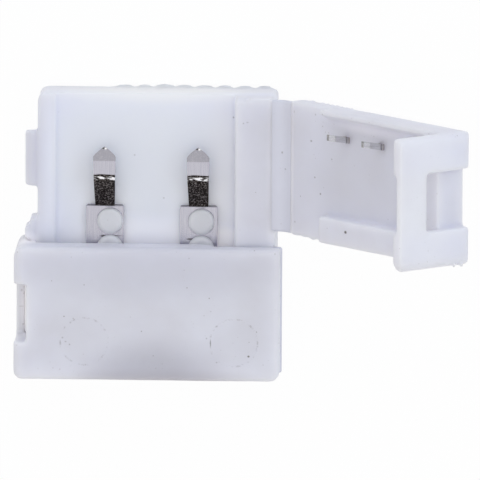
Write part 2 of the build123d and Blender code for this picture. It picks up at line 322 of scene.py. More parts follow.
def cut_across(bm, spot, way):
    """Cut all faces with a plane, so that they can bend there."""
    geom = bm.verts[:] + bm.edges[:] + bm.faces[:]
    bmesh.ops.bisect_plane(bm, geom=geom, plane_co=spot, plane_no=way, dist=1e-5)


def soften_edges(bm, edges, size, segments=2):
    """Bevel the edges, and go no further than the faces beside them allow."""
    bevel = {"offset": size, "segments": segments, "profile": 0.5, "clamp_overlap": True}
    bmesh.ops.bevel(bm, geom=edges, affect="EDGES", **bevel)


# Materials


def empty_material(name):
    """A material and its empty node tree."""
    material = bpy.data.materials.new(name)
    material.use_nodes = True
    material.node_tree.nodes.clear()
    return material, material.node_tree


def milky_nylon(name, shades=(), marks=(), specks=(), glows=(), turn=0.0, within=0.9, tints=None):
    """Natural polyamide as moulded: milky, so light goes in and softens each edge, with a satin skin.

    The shades, which are painted light and shade, the ejector marks, the dirt specks and the painted glows
    stand where they are on the closed part, and turn brings an open cover back there. Within is the share of
    the light that goes in.
    """
    back = Matrix.Rotation(-turn, 3, "Y")
    look = bpy.context.scene.connector_nylon
    clear, cloudy = tints or (tuple(look.colour), tuple(look.cloud))
    dirt = tuple(look.speck)
    material, tree = empty_material(name)
    where = put(tree, "ShaderNodeTexCoord")
    closed_place = {
        "Vector": where.outputs["Object"],
        "Location": HINGE - back @ HINGE,
        "Rotation": (0.0, -turn, 0.0),
        "Scale": (1 / MM, 1 / MM, 1 / MM),
    }
    in_mm = put(tree, "ShaderNodeMapping", closed_place)
    # Denser and clearer clouds, about 3 mm across, left by the flow of the melt
    clouds = put(
        tree, "ShaderNodeTexNoise", {"Vector": in_mm, "Scale": 0.32, "Detail": 3.0, "Roughness": 0.55}
    )
    dense = put(tree, "ShaderNodeMapRange", {"Value": clouds, "From Min": 0.35, "From Max": 0.7})
    nylon = put(tree, "ShaderNodeMix", {"Factor": dense, "A": clear, "B": cloudy}, data_type="RGBA")
    # Specks of dirt, 0.05 to 0.1 mm across, one to a cell of 0.65 mm and most of them faint
    dots, cell = scattered(tree, in_mm, 1.55, 0.035, 0.075)
    kept = put(tree, "ShaderNodeMapRange", {"Value": cell["Red"], "From Min": 0.4, "To Max": 0.7})
    speck = put(tree, "ShaderNodeMath", {0: dots, 1: kept}, operation="MULTIPLY")
    specked = put(tree, "ShaderNodeMix", {"Factor": speck, "A": nylon, "B": dirt}, data_type="RGBA")
    # Fine dust in loose clusters 2 mm across, grains up to 0.1 mm, drawn coarse so that they show
    dots, cell = scattered(tree, in_mm, 3.1, 0.07, 0.15)
    cluster = put(tree, "ShaderNodeTexNoise", {"Vector": in_mm, "Scale": 0.45, "Detail": 2.0})
    patch = put(
        tree, "ShaderNodeMapRange", {"Value": cluster, "From Min": 0.5, "From Max": 0.66, "To Max": 0.6}
    )
    dust = put(tree, "ShaderNodeMath", {0: dots, 1: patch}, operation="MULTIPLY")
    dust = put(tree, "ShaderNodeMath", {0: dust, 1: cell["Green"]}, operation="MULTIPLY")
    colour = put(tree, "ShaderNodeMix", {"Factor": dust, "A": specked, "B": dirt}, data_type="RGBA")
    for centre, size, code, amount in shades:
        colour = shade(tree, in_mm, colour, centre, size, code, amount)
    for centre, radius in marks:
        colour = pin_mark(tree, in_mm, colour, centre, radius)
    for centre, size, amount in specks:
        colour = shade(tree, in_mm, colour, centre, size, "5E5550", amount)
    # Painted glow: emission that lifts the shade in the window slot, in creases, under ribs and round the
    # contacts, and keeps the slot pale
    painted_glow = None
    for centre, size, strength in glows:
        part = inside(tree, in_mm, centre, size, strength)
        painted_glow = part if painted_glow is None else put(tree, "ShaderNodeMath", {0: painted_glow, 1: part})
    # Spark-eroded skin of the mould, 0.15 mm grain
    grain = put(tree, "ShaderNodeTexNoise", {"Vector": in_mm, "Scale": 6.5, "Detail": 2.0})
    bump = put(tree, "ShaderNodeBump", {"Height": grain, "Strength": 0.25, "Distance": 0.01 * MM})
    skin = {
        "Base Color": colour,
        "Normal": bump,
        "Roughness": look.roughness,
        "IOR": 1.53,
        "Subsurface Weight": within,
        "Subsurface Radius": (1.0, 0.97, 1.0),
        "Subsurface Scale": look.depth,
        # Colour and strength of the painted glow
        "Emission Color": linear("EEE6E4"),
        "Emission Strength": painted_glow or 0.0,
    }
    skin = put(tree, "ShaderNodeBsdfPrincipled", skin)
    put(tree, "ShaderNodeOutputMaterial", {"Surface": skin})
    return material


def scattered(tree, in_mm, scale, full, gone):
    """Round dots, one to a cell: their mask, and each cell's own random channels."""
    cells = put(tree, "ShaderNodeTexVoronoi", {"Vector": in_mm, "Scale": scale})
    mask = put(
        tree,
        "ShaderNodeMapRange",
        {"Value": cells, "From Min": full, "From Max": gone, "To Min": 1.0, "To Max": 0.0},
    )
    channels = put(tree, "ShaderNodeSeparateColor", {"Color": cells.outputs["Color"]})
    return mask, channels.outputs


def inside(tree, in_mm, centre, size, amount):
    """A soft mask: the amount at the middle of an ellipsoid, nothing outside; sizes in millimetres."""
    near = put(tree, "ShaderNodeVectorMath", {0: in_mm, 1: centre}, operation="SUBTRACT")
    near = put(tree, "ShaderNodeVectorMath", {0: near, 1: size}, operation="DIVIDE")
    far = put(tree, "ShaderNodeVectorMath", {0: near}, operation="LENGTH")
    return put(
        tree,
        "ShaderNodeMapRange",
        {"Value": far, "From Min": 0.25, "To Min": amount, "To Max": 0.0},
        interpolation_type="SMOOTHSTEP",
    )


def shade(tree, in_mm, colour, centre, size, code, amount):
    """Turn a colour softly to another inside an ellipsoid, centre and half sizes in millimetres."""
    mask = inside(tree, in_mm, centre, size, amount)
    return put(tree, "ShaderNodeMix", {"Factor": mask, "A": colour, "B": linear(code)}, data_type="RGBA")


def pin_mark(tree, in_mm, colour, centre, radius):
    """Draw the faint, broken outline that an ejector pin leaves, in a colour; sizes in millimetres."""
    near = put(tree, "ShaderNodeVectorMath", {0: in_mm, 1: centre}, operation="SUBTRACT")
    flat = put(tree, "ShaderNodeVectorMath", {0: near, 1: (1.0, 1.0, 0.0)}, operation="MULTIPLY")
    away = put(tree, "ShaderNodeVectorMath", {0: flat}, operation="LENGTH")
    off = put(tree, "ShaderNodeMath", {0: away, 1: radius}, operation="SUBTRACT")
    off = put(tree, "ShaderNodeMath", {0: off}, operation="ABSOLUTE")
    line = put(
        tree,
        "ShaderNodeMapRange",
        {"Value": off, "From Min": 0.02, "From Max": 0.07, "To Min": 1.0, "To Max": 0.0},
    )
    breaks = put(tree, "ShaderNodeTexNoise", {"Vector": in_mm, "Scale": 2.4, "Detail": 4.0, "Roughness": 0.8})
    kept = put(
        tree, "ShaderNodeMapRange", {"Value": breaks, "From Min": 0.5, "From Max": 0.62, "To Max": 0.4}
    )
    part = put(tree, "ShaderNodeMath", {0: line, 1: kept}, operation="MULTIPLY")
    return put(
        tree, "ShaderNodeMix", {"Factor": part, "A": colour, "B": linear("857F82")}, data_type="RGBA"
    )


def tinned_bronze(name, shades=(), line_scale=(14.0, 0.8, 0.8), tones=("B4B2BD", "C9C8D1")):
    """Phosphor bronze under matt tin: bright flats, sprung ramps scuffed and painted with a dark reflection.
    """
    material, tree = empty_material(name)
    where = put(tree, "ShaderNodeTexCoord")
    in_mm = put(
        tree, "ShaderNodeMapping", {"Vector": where.outputs["Object"], "Scale": (1 / MM, 1 / MM, 1 / MM)}
    )
    tone = put(tree, "ShaderNodeAttribute", attribute_name="scuff_and_reflection")
    # Drawing lines along the strip, 0.07 mm apart, coarser than the real ones so that they show
    lines = put(tree, "ShaderNodeMapping", {"Vector": in_mm, "Scale": line_scale})
    drawn = put(tree, "ShaderNodeTexNoise", {"Vector": lines, "Scale": 1.0, "Detail": 3.0})
    bright = {"Factor": drawn, "A": linear(tones[0]), "B": linear(tones[1])}
    bright = put(tree, "ShaderNodeMix", bright, data_type="RGBA")
    # Painted dark reflection on the ramps, with 0.1 mm flecks of bare metal for the scuffed tin
    flecks = put(
        tree, "ShaderNodeTexNoise", {"Vector": in_mm, "Scale": 11.0, "Detail": 4.0, "Roughness": 0.75}
    )
    fleck = put(tree, "ShaderNodeMapRange", {"Value": flecks, "From Min": 0.5, "From Max": 0.72})
    dark_reflection = {"Factor": fleck, "A": linear("211C1B"), "B": linear("A8A19E")}
    dark_reflection = put(tree, "ShaderNodeMix", dark_reflection, data_type="RGBA")
    dark = put(tree, "ShaderNodeMapRange", {"Value": tone.outputs["Fac"]})
    with_dark_reflection = put(tree, "ShaderNodeMix", {"Factor": dark, "A": bright, "B": dark_reflection}, data_type="RGBA")
    # A painted highlight along the crest line, in short dashes
    crest_highlight = put(tree, "ShaderNodeMapRange", {"Value": tone.outputs["Fac"], "From Min": 1.2, "From Max": 1.7})
    dashes = put(tree, "ShaderNodeMapping", {"Vector": in_mm, "Scale": (2.6, 8.0, 1.0)})
    dashes = put(tree, "ShaderNodeTexNoise", {"Vector": dashes, "Scale": 1.0, "Detail": 3.0})
    dash = put(tree, "ShaderNodeMapRange", {"Value": dashes, "From Min": 0.47, "From Max": 0.55})
    crest_highlight = put(tree, "ShaderNodeMath", {0: crest_highlight, 1: dash}, operation="MULTIPLY")
    colour = put(
        tree, "ShaderNodeMix", {"Factor": crest_highlight, "A": with_dark_reflection, "B": linear("F4F3F6")}, data_type="RGBA"
    )
    for centre, size, code, amount in shades:
        colour = shade(tree, in_mm, colour, centre, size, code, amount)
    rough = put(tree, "ShaderNodeMapRange", {"Value": dark, "To Min": 0.24, "To Max": 0.5})
    bump = put(tree, "ShaderNodeBump", {"Height": flecks, "Strength": 0.4, "Distance": 0.02 * MM})
    skin = {"Base Color": colour, "Normal": bump, "Roughness": rough, "Metallic": 1.0}
    skin = put(tree, "ShaderNodeBsdfPrincipled", skin)
    put(tree, "ShaderNodeOutputMaterial", {"Surface": skin})
    return material


def seen_plainly(tree):
    """A mask of what the camera, metal and clear plastic see, as against the light that falls on things."""
    ray = put(tree, "ShaderNodeLightPath")
    seen = {0: ray.outputs["Is Camera Ray"], 1: ray.outputs["Is Glossy Ray"]}
    seen = put(tree, "ShaderNodeMath", seen, operation="MAXIMUM")
    return put(tree, "ShaderNodeMath", {0: seen, 1: ray.outputs["Is Transmission Ray"]}, operation="MAXIMUM")


def paper(name, code, share):
    """The pale floor: it keeps the shadow, and the camera, metal and clear plastic see it nearly white."""
    material, tree = empty_material(name)
    where = put(tree, "ShaderNodeTexCoord")
    # Fibres about 1 mm long, hardly raised
    grain = put(
        tree, "ShaderNodeTexNoise", {"Vector": where.outputs["Object"], "Scale": 900.0, "Detail": 3.0}
    )
    bump = put(tree, "ShaderNodeBump", {"Height": grain, "Strength": 0.05, "Distance": 0.02 * MM})
    matt = put(tree, "ShaderNodeBsdfDiffuse", {"Color": linear(code), "Normal": bump})
    glow = put(tree, "ShaderNodeEmission", {"Color": (1.0, 1.0, 1.0, 1.0), "Strength": 1.0})
    part = put(tree, "ShaderNodeMath", {0: seen_plainly(tree), 1: share}, operation="MULTIPLY")
    both = put(tree, "ShaderNodeMixShader", {"Fac": part, 1: matt, 2: glow})
    put(tree, "ShaderNodeOutputMaterial", {"Surface": both})
    return material


# Mouldings


def merged(node, turn=0.0):
    """A closed copy of a CAD node's mesh in millimetres, turned about the hinge axis."""
    bm = bmesh.new()
    bm.from_mesh(frame["nodes"][node].data)
    bmesh.ops.scale(bm, vec=(1 / MM, 1 / MM, 1 / MM), verts=bm.verts)
    bmesh.ops.remove_doubles(bm, verts=bm.verts, dist=1e-4)
    bm.transform(about_hinge(turn))
    return bm


def flash_tree(material):
    """Beads of flash squeezed out along an edge of the mould."""
    sizes = {
        "Spacing": "NodeSocketFloat",
        "Smallest": "NodeSocketVector",
        "Largest": "NodeSocketVector",
        "Seed": "NodeSocketInt",
    }
    tree, given = new_tree("Mould flash", sizes)
    line = put(tree, "GeometryNodeMeshToCurve", {"Mesh": given["Geometry"]})
    spots = put(tree, "GeometryNodeResampleCurve", {"Curve": line, "Length": given["Spacing"]}, mode="LENGTH")
    bead = put(tree, "GeometryNodeMeshIcoSphere", {"Radius": 1.0, "Subdivisions": 3})
    scale = {0: given["Smallest"], 1: given["Largest"], "Seed": given["Seed"]}
    scale = put(tree, "FunctionNodeRandomValue", scale, data_type="FLOAT_VECTOR")
    beads = put(tree, "GeometryNodeInstanceOnPoints", {"Points": spots, "Instance": bead, "Scale": scale})
    end_tree(tree, beads, material)
    return tree


def add_flash(bm, tree, runs):
    """Join beads of flash to a moulding that is still in millimetres."""
    for seed, (start, end, spacing, smallest, largest) in enumerate(runs):
        values = {
            "Spacing": spacing * MM,
            "Smallest": [v * MM for v in smallest],
            "Largest": [v * MM for v in largest],
            "Seed": seed + FLASH_SEED,
        }
        mesh = grown(tree, [start, end], [(0, 1)], values)
        mesh.transform(Matrix.Scale(1 / MM, 4))
        bm.from_mesh(mesh)


def moulded(name, bm, material, turn=0.0, rounding=None):
    """Turn a closed shell in millimetres into one softly rounded moulding with the waves of cooling."""
    look = bpy.context.scene.connector_moulding
    obj = place(name, finished(bm, name), material)
    remesh = obj.modifiers.new("Grid", "REMESH")
    remesh.mode = "VOXEL"
    remesh.voxel_size = look.mesh_size / MM
    remesh.use_smooth_shade = True
    soften = obj.modifiers.new("Soften", "SMOOTH")
    soften.factor = 0.5
    soften.iterations = rounding or look.rounding
    done = bpy.data.meshes.new_from_object(obj.evaluated_get(bpy.context.evaluated_depsgraph_get()))
    bpy.data.objects.remove(obj)
    wave = look.sink_size / MM
    height = look.sink / MM
    normals = [normal.vector.copy() for normal in done.vertex_normals]
    # A lower and narrower wave rides on the main one
    places = [
        vertex.co
        + normal * (height * (noise.noise(vertex.co / wave) + 0.4 * noise.noise(vertex.co * 2.7 / wave)))
        for vertex, normal in zip(done.vertices, normals)
    ]
    done.vertices.foreach_set("co", [value for spot in places for value in spot])
    done.transform(Matrix.Scale(MM, 4) @ about_hinge(turn))
    return place(name, done, material)


class CONNECTOR_OT_base(bpy.types.Operator):
    """Build the base moulding with its flash and its staked pegs"""

    bl_idname = "connector.base"
    bl_label = "Base moulding"

    def execute(self, context):
        nylon = bpy.data.materials["moulded_nylon"]
        bm = merged("base_housing")
        pegs = peg_places()
        # The CAD's pegs come out, because softening would melt them into the floor
        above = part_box("contact_left")[0].z / MM + 0.01
        on_pegs = [
            v
            for v in bm.verts
            if v.co.z > above and any((v.co.xy - Vector(p[:2])).length < PEG_CLEARED for p in pegs)
        ]
        bmesh.ops.delete(bm, geom=on_pegs, context="VERTS")
        bmesh.ops.holes_fill(bm, edges=[e for e in bm.edges if e.is_boundary], sides=0)
        add_flash(bm, flash_tree(nylon), BASE_FLASH)
        obj = moulded("base_moulding", bm, nylon)
        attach(obj, "base")
        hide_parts("base_housing")
        obj = place("staked_pegs", staked_pegs(pegs, nylon), nylon)
        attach(obj, "base")
        return {"FINISHED"}


def peg_places():
    """Foot of each staked peg on the channel's floor, in millimetres."""
    places = []
    for node, aside in PEGS_ASIDE.items():
        low, high = box_of(node)
        places += [((low.x + high.x) / 2 + aside, along, low.z) for along in PEGS_ALONG]
    return places


def staked_pegs(pegs, material):
    """The four peg heads, each a lathed dome on its shank."""
    sizes = {"Head radius": "NodeSocketFloat", "Head height": "NodeSocketFloat", "Metal": "NodeSocketFloat"}
    tree, given = new_tree("Staked peg", sizes)
    top = put(tree, "ShaderNodeMath", {0: given["Metal"], 1: given["Head height"]}, operation="ADD")
    top = put(tree, "ShaderNodeCombineXYZ", {"Z": top})
    foot = put(tree, "ShaderNodeCombineXYZ", {"Z": given["Metal"]})
    line = put(tree, "GeometryNodeCurvePrimitiveLine", {"Start": foot, "End": top})
    line = put(tree, "GeometryNodeResampleCurve", {"Curve": line, "Count": 12})
    up = put(tree, "GeometryNodeSplineParameter")
    dome = put(tree, "ShaderNodeFloatCurve", {"Value": up})
    points = dome.mapping.curves[0].points
    points[0].location = PEG_HEAD_SIDE[0]
    points[1].location = PEG_HEAD_SIDE[-1]
    for height, radius in PEG_HEAD_SIDE[1:-1]:
        points.new(height, radius)
    dome.mapping.update()
    radius = put(tree, "ShaderNodeMath", {0: dome, 1: given["Head radius"]}, operation="MULTIPLY")
    line = put(tree, "GeometryNodeSetCurveRadius", {"Curve": line, "Radius": radius})
    circle = put(tree, "GeometryNodeCurvePrimitiveCircle", {"Resolution": 48, "Radius": 1.0})
    head = {"Curve": line, "Profile Curve": circle, "Scale": radius, "Fill Caps": True}
    head = put(tree, "GeometryNodeCurveToMesh", head)
    heads = put(tree, "GeometryNodeInstanceOnPoints", {"Points": given["Geometry"], "Instance": head})
    end_tree(tree, heads, material)
    metal = bpy.context.scene.connector_contacts.metal
    values = {"Head radius": PEG_HEAD * MM, "Head height": PEG_HEAD_HEIGHT * MM, "Metal": metal}
    return grown(tree, pegs, [], values)


def fill_pin_holes(bm, side):
    """Fill the plate round each pin's root, where softening would open the hole that the pin stands in."""
    wider, deeper = 0.3, 0.1
    for node in ("near_outer_grip_pin", "near_inner_grip_pin"):
        low, high = box_of(node)
        middle = Vector(
            ((low.x + high.x) / 2, side * (low.y + high.y) / 2, (PLATE_FACE + high.z) / 2 + deeper / 2)
        )
        size = Vector((high.x - low.x + wider, high.y - low.y + wider, high.z - PLATE_FACE + deeper))
        stretch = Matrix.Diagonal((*size, 1.0))
        bmesh.ops.create_cube(bm, size=1.0, matrix=Matrix.Translation(middle) @ stretch)


class CONNECTOR_OT_covers(bpy.types.Operator):
    """Build the two snap covers, the far one open and the near one closed"""

    bl_idname = "connector.covers"
    bl_label = "Snap covers"

    def execute(self, context):
        nylon = bpy.data.materials["moulded_nylon"]
        turned = bpy.data.materials["moulded_nylon_open_cover"]
        shaded = bpy.data.materials["moulded_nylon_shaded_over_hollow"]
        tree = flash_tree(nylon)
        bm = merged("far_cover", -OPEN_ANGLE)
        fill_pin_holes(bm, -1.0)
        add_flash(bm, tree, FAR_COVER_FLASH)
        far = moulded("far_cover_moulding", bm, turned, OPEN_ANGLE, FAR_COVER_ROUNDING)
        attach(far, "far_cover")
        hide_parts("far_cover")
        bm = merged("near_cover")
        fill_pin_holes(bm, 1.0)
        add_flash(bm, tree, NEAR_COVER_FLASH)
        near = moulded("near_cover_moulding", bm, shaded)
        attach(near, "near_cover")
        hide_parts("near_cover")
        return {"FINISHED"}


def web_tree(material):
    """A thin web swept along its bend, with rounded long edges."""
    sizes = {"Length": "NodeSocketFloat", "Thickness": "NodeSocketFloat", "Edge": "NodeSocketFloat"}
    tree, given = new_tree("Living hinge", sizes)
    line = put(tree, "GeometryNodeMeshToCurve", {"Mesh": given["Geometry"]})
    section = put(
        tree,
        "GeometryNodeCurvePrimitiveQuadrilateral",
        {"Width": given["Length"], "Height": given["Thickness"]},
    )
    section = put(
        tree, "GeometryNodeFilletCurve", {"Curve": section, "Radius": given["Edge"], "Count": 4}, mode="POLY"
    )
    section = put(tree, "GeometryNodeResampleCurve", {"Curve": section, "Length": 0.12 * MM}, mode="LENGTH")
    web = put(tree, "GeometryNodeCurveToMesh", {"Curve": line, "Profile Curve": section, "Fill Caps": True})
    end_tree(tree, web, material)
    return tree


def web_line(angle, reach):
    """Middle line of a web from the base's root to the cover's root, a smooth bend of constant length."""
    end = about_hinge(angle) @ COVER_ROOT
    start_way = Vector((1.0, 0.0, 0.0))
    end_way = Matrix.Rotation(angle, 3, "Y") @ Vector((-1.0, 0.0, 0.0))
    after_start = BASE_ROOT + start_way * reach
    before_end = end - end_way * reach
    points = []
    for i in range(WEB_STEPS + 1):
        t = i / WEB_STEPS
        points.append(
            BASE_ROOT * (1 - t) ** 3
            + after_start * (3 * t * (1 - t) ** 2)
            + before_end * (3 * t * t * (1 - t))
            + end * t**3
        )
    return [BASE_ROOT - start_way * WEB_IN_PIECE, *points, end + end_way * WEB_IN_PIECE]


class CONNECTOR_OT_webs(bpy.types.Operator):
    """Build the two thin webs that hinge the covers"""

    bl_idname = "connector.webs"
    bl_label = "Living hinges"

    def execute(self, context):
        nylon = bpy.data.materials["moulded_nylon_web"]
        tree = web_tree(nylon)
        # Angle, reach of the bend from each root, and how much shorter the web ends at the near side
        for body, angle, reach, shorter in (
            ("far_cover", OPEN_ANGLE, 0.42, 0.0),
            ("near_cover", 0.0, 0.45, 0.35),
        ):
            name = body.replace("cover", "living_hinge")
            low, high = box_of(name)
            low.y += shorter
            middle = (low.y + high.y) / 2
            points = web_line(angle, reach)
            line = [(p.x, middle, p.z) for p in points]
            pairs = [(i, i + 1) for i in range(len(points) - 1)]
            length = (high.y - low.y) * MM
            values = {"Length": length, "Thickness": WEB_THICKNESS * MM, "Edge": WEB_EDGE * MM}
            obj = place(name + "_web", grown(tree, line, pairs, values), nylon)
            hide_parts(name)
            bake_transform(obj)
        return {"FINISHED"}


# Contacts


def contact_outline(c):
    """Half outline of the flat blank from the middle of the plate to the tip, as (x, s) in millimetres.

    The stations with it are the lengths at which the ramp, the crest and the tip start, and the tip's end.
    """
    half = c.plate_width / MM / 2
    ramp = c.plate_half / MM
    crest = ramp + math.hypot((c.crest_start - c.plate_half) / MM, c.rise / MM)
    tip = crest + (c.crest_end - c.crest_start) / MM
    end = tip + math.hypot((c.tip - c.crest_end) / MM, c.drop / MM)
    shoulder = tip + SHOULDER
    points = [(half, 0.0), (half, ramp - PLATE_CORNER)]
    x, s = half - PLATE_CORNER, ramp - PLATE_CORNER
    for i in range(1, 5):
        a = math.radians(22.5 * i)
        points.append((x + PLATE_CORNER * math.cos(a), s + PLATE_CORNER * math.sin(a)))
    points += [(NECK, ramp), (NECK + 0.01, ramp + 0.2), (FINGER, shoulder)]
    # The tip narrows in a curve that is fuller than a straight point
    for i in range(1, 13):
        t = i / 12
        points.append((FINGER * (1 - t**1.25), shoulder + (end - shoulder) * t**0.95))
    return points, (ramp, crest, tip, end)


def bend_line(c, stations):
    """Path of the strip's underside, as a function from the developed length to place and heading."""
    radius = c.bend / MM
    up = math.atan2(c.rise, c.crest_start - c.plate_half)
    down = -math.atan2(c.drop, c.tip - c.crest_end)
    ramp, crest, tip, end = stations
    turns = [(ramp, 0.0, up), (crest, up, 0.0), (tip, 0.0, down)]

    def heading(s):
        for at, before, after in turns:
            half = radius * math.tan(abs(after - before) / 2) + 0.05
            if s < at - half:
                return before
            if s < at + half:
                t = (s - at + half) / (2 * half)
                return before + (after - before) * t
        return down

    step = 0.01
    table = [(0.0, 0.0)]
    s = 0.0
    while s < end + 0.2:
        a = heading(s + step / 2)
        y, z = table[-1]
        table.append((y + step * math.cos(a), z + step * math.sin(a)))
        s += step

    def at(s):
        i = min(int(s / step), len(table) - 2)
        t = s / step - i
        y = table[i][0] * (1 - t) + table[i + 1][0] * t
        z = table[i][1] * (1 - t) + table[i + 1][1] * t
        return y, z, heading(s)

    return at


def closed_loop(bm, points):
    """The edges of a closed flat outline."""
    verts = [bm.verts.new((x, s, 0.0)) for x, s in points]
    return [bm.edges.new((verts[i], verts[(i + 1) % len(verts)])) for i in range(len(verts))]


def flat_blank(half_outline, stations, aside):
    """The strip's flat blank with its two peg holes, one face thick, cut across where it will bend."""
    upper = half_outline + [(-x, s) for x, s in reversed(half_outline[:-1])]
    lower = [(x, -s) for x, s in reversed(upper)]
    outline = [p for p in upper if p[1] > 0.0] + [p for p in lower if p[1] < 0.0]
    bm = bmesh.new()
    edges = closed_loop(bm, outline)
    for along in PEGS_ALONG:
        angles = [math.tau * i / 32 for i in range(32)]
        edges += closed_loop(bm, [(aside + HOLE * math.cos(a), along + HOLE * math.sin(a)) for a in angles])
    bmesh.ops.triangle_fill(bm, use_beauty=True, edges=edges)
    ramp, crest, tip, end = stations
    cuts = [station + 0.04 * k for station in (ramp, crest, tip) for k in range(-8, 9)]
    cuts += [ramp + (crest - ramp) * k / 10 for k in range(1, 10)]
    cuts += [tip + (end - tip) * k / 8 for k in range(2, 8)]
    for cut in cuts:
        for sign in (-1, 1):
            cut_across(bm, (0, sign * cut, 0), (0, 1, 0))
    bmesh.ops.recalc_face_normals(bm, faces=bm.faces)
    for face in bm.faces:
        if face.normal.z < 0:
            face.normal_flip()
    return bm


def thicken(bm, metal, stations):
    """Give the blank its thickness, a bevelled point at each end and coined upper edges."""
    made = bmesh.ops.extrude_face_region(bm, geom=bm.faces[:])
    top = [v for v in made["geom"] if isinstance(v, bmesh.types.BMVert)]
    bmesh.ops.translate(bm, verts=top, vec=(0, 0, metal))
    bmesh.ops.recalc_face_normals(bm, faces=bm.faces)
    rim = [
        e
        for e in bm.edges
        if len(e.link_faces) == 2
        and e.calc_face_angle(0.0) > math.radians(60)
        and min(v.co.z for v in e.verts) > metal / 2
    ]
    tip = stations[2]
    points = [e for e in rim if min(abs(v.co.y) for v in e.verts) > tip + SHOULDER - 0.01]
    soften_edges(bm, points, TIP_BEVEL, 1)
    soften_edges(bm, [e for e in rim if e.is_valid and e not in points], EDGE_BEVEL)


def contact_mesh(name, centre, floor, aside):
    """A stamped and bent strip: cut as a flat blank, coined at its edges, then bent along its path."""
    c = bpy.context.scene.connector_contacts
    metal = c.metal / MM
    half_outline, stations = contact_outline(c)
    bm = flat_blank(half_outline, stations, aside)
    thicken(bm, metal, stations)
    tone = bm.verts.layers.float.new("scuff_and_reflection")
    path = bend_line(c, stations)
    for v in bm.verts:
        s, h = abs(v.co.y), v.co.z
        sign = 1 if v.co.y >= 0 else -1
        y, z, heading = path(s)
        v[tone] = scuff_and_reflection_at(s, stations, h > metal - 0.01)
        v.co = Vector(
            (centre + v.co.x, sign * (y - h * math.sin(heading)), floor + z + h * math.cos(heading))
        )
    mesh = finished(bm, name)
    mesh.transform(Matrix.Scale(MM, 4))
    return mesh


def scuff_and_reflection_at(s, stations, on_top):
    """Tone of the tin at a developed length: clean plate, painted shade at the foot of the ramp, painted dark
    reflection on the ramp, painted highlight on the crest, clean flat, and painted shade on the tip.
    """
    ramp, crest, tip, _ = stations
    if s < ramp - 0.02:
        return CLEAN
    if s < ramp + 0.03:
        return BEND
    if abs(s - crest - 0.03) < 0.07:
        return CREST_HIGHLIGHT
    if s < crest + 0.2:
        return DARK_REFLECTION
    if s < tip - 0.01:
        return CLEAN
    return TIP if on_top else SIDE_OF_TIP


class CONNECTOR_OT_contacts(bpy.types.Operator):
    """Build the two stamped contacts"""

    bl_idname = "connector.contacts"
    bl_label = "Contacts"

    def execute(self, context):
        tin = bpy.data.materials["drawn_tinned_bronze"]
        for node, aside in PEGS_ASIDE.items():
            low, high = box_of(node)
            mesh = contact_mesh(node + "_strip", (low.x + high.x) / 2, low.z, aside)
            obj = place(node + "_strip", mesh, tin)
            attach(obj, "base")
            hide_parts(node)
        return {"FINISHED"}


def stretch_pin(bm, lean):
    """Draw a pin out below the cover's plate, leant to the entry, dark at its tip and with a painted shade at
    its root.
    """
    for i in range(1, PIN_CUTS + 1):
        cut_across(bm, (0, 0, PLATE_FACE - PIN_IN_CAD * i / PIN_CUTS), (0, 0, 1))
    tone = bm.verts.layers.float.new("scuff_and_reflection")
    middle = sum(v.co.y for v in bm.verts) / len(bm.verts)
    for v in bm.verts:
        out = max(0.0, PLATE_FACE - v.co.z) / PIN_IN_CAD
        v[tone] = PIN_TIP if out > 0.97 else PIN_ROOT_SHADE if 0.12 < out < 0.18 else PIN_SIDE
        v.co.z -= out * (PIN - PIN_IN_CAD)
        v.co.y = middle + (v.co.y - middle) * PIN_SLIM + out * PIN * lean


class CONNECTOR_OT_pins(bpy.types.Operator):
    """Build the two grip pins of each cover"""

    bl_idname = "connector.pins"
    bl_label = "Grip pins"

    def execute(self, context):
        tin = bpy.data.materials["drawn_tinned_bronze_blade"]
        for body, turn, lean in (("far_cover", OPEN_ANGLE, PIN_LEAN), ("near_cover", 0.0, -PIN_LEAN)):
            for side in ("outer", "inner"):
                node = body.replace("cover", side + "_grip_pin")
                bm = merged(node, -turn)
                bmesh.ops.dissolve_limit(
                    bm, angle_limit=math.radians(1), verts=bm.verts[:], edges=bm.edges[:]
                )
                soften_edges(bm, bm.edges[:], PIN_BEVEL)
                stretch_pin(bm, lean)
                bm.transform(about_hinge(turn))
                mesh = finished(bm, node + "_blade")
                mesh.transform(Matrix.Scale(MM, 4))
                obj = place(node + "_blade", mesh, tin, smooth=False)
                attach(obj, body)
                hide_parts(node)
        return {"FINISHED"}


# Stage


class CONNECTOR_OT_stage(bpy.types.Operator):
    """Build the floor, the soft lights and the camera"""

    bl_idname = "connector.stage"
    bl_label = "Stage"

    def execute(self, context):
        scene = context.scene
        look = scene.connector_stage
        bm = bmesh.new()
        bmesh.ops.create_circle(bm, cap_ends=True, segments=96, radius=look.floor)
        mesh = finished(bm, "floor")
        mesh.transform(Matrix.Translation((0, 0, -0.02 * MM)))
        floor = place("floor", mesh, paper("white_paper", "F2F2F4", 0.97), smooth=False)
        # Place in metres, power in watts and tint of each lamp
        for name, spot, power, colour in (
            ("soft_right", (0.35, 0.1, 0.3), 0.27, (0.5, 0.72, 1.0)),
            ("soft_far", (-0.05, 0.4, 0.25), 0.32, (0.58, 0.73, 1.0)),
            ("soft_top", (0.0, 0.02, 0.5), 0.33, (1.0, 0.98, 0.93)),
        ):
            lamp = bpy.data.lights.new(name, "AREA")
            lamp.size = look.lamp
            lamp.energy = power
            lamp.color = colour
            obj = bpy.data.objects.new(name, lamp)
            obj.location = spot
            obj.visible_glossy = False
            obj.rotation_euler = (-Vector(spot)).to_track_quat("-Z", "Y").to_euler()
            scene.collection.objects.link(obj)
        scene.world = sky("soft_sky", look.sky)
        scene.view_settings.view_transform = "Standard"
        scene.camera = aimed_camera(look)
        scene.collection.objects.link(scene.camera)
        return {"FINISHED"}


